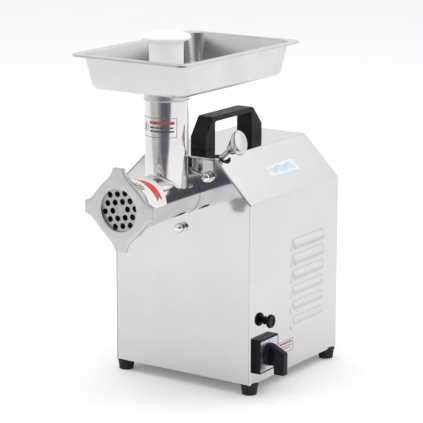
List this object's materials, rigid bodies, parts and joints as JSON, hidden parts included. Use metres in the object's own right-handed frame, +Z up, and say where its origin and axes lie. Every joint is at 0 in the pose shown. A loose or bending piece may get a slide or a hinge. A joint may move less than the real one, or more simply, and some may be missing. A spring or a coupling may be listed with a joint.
{
  "type": "electric meat grinder",
  "caption": "Bench-top electric meat grinder with a stainless casing, a horizontal grinding head, a rectangular feed tray and a top carry handle.",
  "frame": {"origin": "on the bench, under the middle of the casing", "axes": "+X to the switch side, -Y towards the outlet of the grinding head, +Z up"},
  "size_m": [0.265, 0.3887, 0.4921],
  "materials": {
    "polished_casing": "polished stainless sheet",
    "sheet_steel": "plain sheet",
    "machined_steel": "machined",
    "foot_rubber": "matt",
    "handle_black": "satin",
    "cast_case": "as cast",
    "bolt_chrome": "polished",
    "bearing_steel": "ground",
    "seal_rubber": "matt",
    "lamination": "stacked sheet",
    "winding_copper": "enamelled copper wire",
    "capacitor_can": "satin",
    "terminal_nylon": "matt",
    "switch_black": "satin",
    "switch_silver": "satin",
    "grommet_rubber": "matt",
    "gear_steel": "hobbed, oiled",
    "fan_black": "moulded",
    "head_polished": "polished",
    "plate_steel": "ground",
    "auger_cast": "as cast, satin",
    "washer_nylon": "satin",
    "ring_cast": "satin cast",
    "tray_steel": "fine brushed",
    "pusher_white": "satin",
    "lock_chrome": "polished",
    "spring_steel": "drawn wire"
  },
  "bodies": {
    "frame": {"casing": "polished_casing", "front_panel": "polished_casing", "rear_panel": "sheet_steel", "base_plate": "sheet_steel", "base_screws": "machined_steel", "rear_screws": "machined_steel", "feet": "foot_rubber", "foot_screws": "machined_steel", "carry_handle": "handle_black", "handle_screws": "machined_steel", "gearbox_housing": "cast_case", "gearbox_cover": "cast_case", "cover_screws": "machined_steel", "gearbox_bolts": "bolt_chrome", "output_bearings": "bearing_steel", "counter_bearings": "bearing_steel", "motor_bearings": "bearing_steel", "oil_seals": "seal_rubber", "stator_core": "lamination", "stator_windings": "winding_copper", "motor_front_bell": "cast_case", "motor_rear_bell": "cast_case", "motor_bracket": "sheet_steel", "bracket_screws": "machined_steel", "start_capacitor": "capacitor_can", "capacitor_clip": "sheet_steel", "terminal_block": "terminal_nylon", "switch_body": "switch_black", "switch_frame": "switch_black", "switch_plate": "switch_silver", "overload_cutout": "switch_black", "cable_gland": "switch_black", "lock_grommet": "grommet_rubber", "reset_spring": "spring_steel"},
    "rotor": {"rotor_core": "lamination", "motor_shaft": "machined_steel", "motor_pinion": "gear_steel", "cooling_fan": "fan_black"},
    "countershaft": {"countershaft": "machined_steel", "first_gear": "gear_steel", "second_pinion": "gear_steel"},
    "output": {"output_gear": "gear_steel", "output_shaft": "machined_steel"},
    "head": {"head_barrel": "head_polished", "feed_column": "head_polished", "grinder_plate": "plate_steel", "plate_key": "machined_steel"},
    "auger": {"auger": "auger_cast", "auger_shank": "machined_steel", "auger_stud": "machined_steel", "knife": "plate_steel", "thrust_washer": "washer_nylon"},
    "ring": {"ring_nut": "ring_cast"},
    "tray": {"tray_pan": "tray_steel", "tray_neck": "tray_steel"},
    "pusher": {"pusher": "pusher_white"},
    "lock": {"lock_screw": "lock_chrome", "lock_knob": "lock_chrome"},
    "switch": {"switch_knob": "switch_black"},
    "reset": {"reset_button": "switch_black"}
  },
  "joints": [
    {"name": "motor_spin", "type": "hinge", "parent": "frame", "child": "rotor", "pos_m": [0, 0, 0.1155], "axis": [0, -1, 0], "continuous": true},
    {"name": "countershaft_spin", "type": "hinge", "parent": "frame", "child": "countershaft", "pos_m": [0, 0, 0.2175], "axis": [0, -1, 0], "continuous": true},
    {"name": "output_spin", "type": "hinge", "parent": "frame", "child": "output", "pos_m": [0, 0, 0.2725], "axis": [0, -1, 0], "continuous": true},
    {"name": "head_slide", "type": "slide", "parent": "frame", "child": "head", "axis": [0, -1, 0], "range_m": [0, 0.1]},
    {"name": "auger_spin", "type": "hinge", "parent": "head", "child": "auger", "pos_m": [0, 0, 0.2725], "axis": [0, -1, 0], "continuous": true},
    {"name": "ring_nut_turn", "type": "hinge", "parent": "head", "child": "ring", "pos_m": [0, 0, 0.2725], "axis": [0, -1, 0], "range_deg": [0, 1080]},
    {"name": "tray_lift", "type": "slide", "parent": "head", "child": "tray", "axis": [0, 0, 1], "range_m": [0, 0.055]},
    {"name": "pusher_slide", "type": "slide", "parent": "head", "child": "pusher", "axis": [0, 0, 1], "range_m": [0, 0.15]},
    {"name": "lock_turn", "type": "hinge", "parent": "frame", "child": "lock", "pos_m": [0, -0.0945, 0.2725], "axis": [0.7431, 0, 0.6691], "range_deg": [0, 1080]},
    {"name": "switch_turn", "type": "hinge", "parent": "frame", "child": "switch", "pos_m": [0.1125, -0.08, 0.054], "axis": [1, 0, 0], "range_deg": [-60, 60]},
    {"name": "reset_push", "type": "slide", "parent": "frame", "child": "reset", "axis": [-1, 0, 0], "range_m": [0, 0.003], "stiffness_N_per_m": 900, "springref_m": -0.002, "deforming": ["reset_spring"]}
  ],
  "couplings": [
    {"joint": "countershaft_spin", "follows": "motor_spin", "ratio": -0.2},
    {"joint": "output_spin", "follows": "motor_spin", "ratio": 0.10345},
    {"joint": "auger_spin", "follows": "motor_spin", "ratio": 0.10345}
  ]
}
